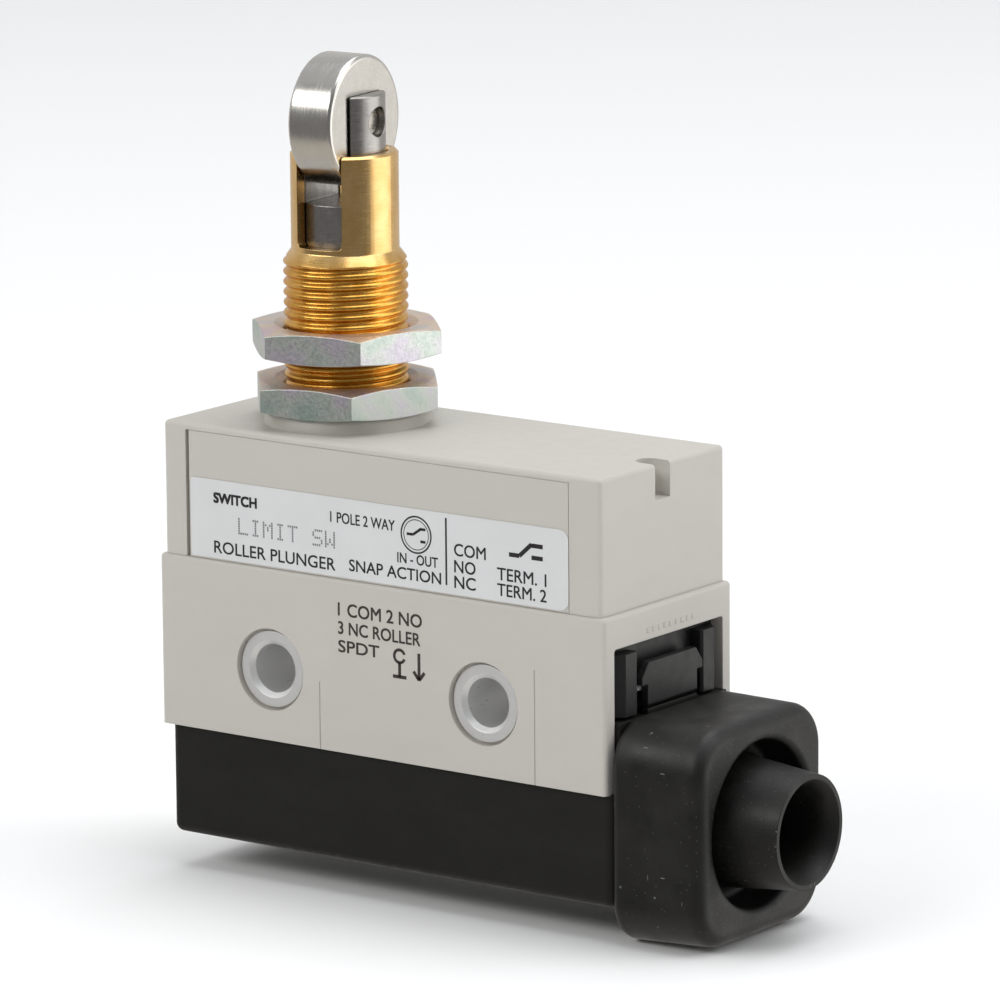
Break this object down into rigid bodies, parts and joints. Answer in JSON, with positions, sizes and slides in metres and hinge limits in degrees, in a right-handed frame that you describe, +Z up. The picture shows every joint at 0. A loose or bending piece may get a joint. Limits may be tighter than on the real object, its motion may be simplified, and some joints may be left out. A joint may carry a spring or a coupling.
{
  "type": "limit switch",
  "caption": "Plastic cased limit switch with a threaded brass head, a sprung roller plunger, clamping nuts, a snap mechanism and a rubber cable boot.",
  "frame": {"origin": "midway between the two mounting holes, at half the thickness of the case", "axes": "+Z up to the roller, -Y out of the label side, +X to the cable end"},
  "size_m": [0.0688, 0.0208, 0.0799],
  "materials": {
    "case_plastic": "fine satin moulding",
    "seal_rubber": "matt",
    "label_film": "satin film",
    "eyelet_aluminium": "drawn",
    "barrel_brass": "turned",
    "nut_zinc": "zinc plated",
    "plunger_steel": "satin",
    "pin_steel": "ground",
    "roller_steel": "polished",
    "pin_plastic": "moulded",
    "spring_steel": "drawn wire",
    "terminal_brass": "stamped",
    "contact_silver": "dull silver",
    "blade_copper": "rolled spring strip",
    "black_plastic": "fine satin moulding",
    "boot_rubber": "satin"
  },
  "bodies": {
    "case": {"lower_case": "case_plastic", "upper_case": "case_plastic", "front_cover": "case_plastic", "case_gasket": "seal_rubber", "cover_gasket": "seal_rubber", "rating_label": "label_film", "mounting_eyelets": "eyelet_aluminium", "threaded_barrel": "barrel_brass", "barrel_gasket": "seal_rubber", "pin_seal": "seal_rubber", "common_terminal": "terminal_brass", "normally_open_terminal": "terminal_brass", "normally_closed_terminal": "terminal_brass", "open_contact": "contact_silver", "closed_contact": "contact_silver", "terminal_screws": "nut_zinc", "terminal_washers": "nut_zinc", "latch_bracket": "black_plastic", "latch_pin": "pin_steel", "return_spring": "spring_steel"},
    "plunger": {"plunger": "plunger_steel", "plunger_seal": "seal_rubber", "pin_retainer": "pin_steel", "roller_axle": "pin_steel"},
    "roller": {"roller": "roller_steel"},
    "switch_pin": {"switch_pin": "pin_plastic", "overtravel_spring": "spring_steel"},
    "snap_blade": {"snap_blade": "blade_copper", "moving_contact": "contact_silver"},
    "lower_nut": {"lower_nut": "nut_zinc"},
    "upper_nut": {"upper_nut": "nut_zinc"},
    "cover": {"terminal_cover": "black_plastic", "cable_boot": "boot_rubber"},
    "latch": {"cover_latch": "black_plastic"}
  },
  "joints": [
    {"name": "plunger_slide", "type": "slide", "parent": "case", "child": "plunger", "axis": [0, 0, -1], "range_m": [0, 0.0055], "stiffness_N_per_m": 800, "springref_m": -0.006, "deforming": ["return_spring", "overtravel_spring"]},
    {"name": "roller_spin", "type": "hinge", "parent": "plunger", "child": "roller", "pos_m": [-0.01093, 0, 0.05225], "axis": [0.9959, 0.0906, 0], "continuous": true},
    {"name": "switch_pin_slide", "type": "slide", "parent": "case", "child": "switch_pin", "axis": [0, 0, -1], "range_m": [0, 0.0004]},
    {"name": "blade_rock", "type": "hinge", "parent": "case", "child": "snap_blade", "pos_m": [-0.022, 0, 0.01045], "axis": [0, 1, 0], "range_deg": [0, 2.07]},
    {"name": "lower_nut_travel", "type": "slide", "parent": "case", "child": "lower_nut", "axis": [0, 0, 1], "range_m": [0, 0.001]},
    {"name": "upper_nut_travel", "type": "slide", "parent": "case", "child": "upper_nut", "axis": [0, 0, 1], "range_m": [-0.001, 0.006]},
    {"name": "cover_pull", "type": "slide", "parent": "case", "child": "cover", "axis": [0, 0, -1], "range_m": [0, 0.03]},
    {"name": "latch_flex", "type": "hinge", "parent": "cover", "child": "latch", "pos_m": [0.02683, 0, 0.00075], "axis": [0, 1, 0], "range_deg": [0, 12], "stiffness_Nm_per_rad": 0.01}
  ],
  "couplings": [
    {"joint": "switch_pin_slide", "follows": "plunger_slide", "ratio": 0.072},
    {"joint": "blade_rock", "follows": "plunger_slide", "rad_per_m": 6.54}
  ]
}
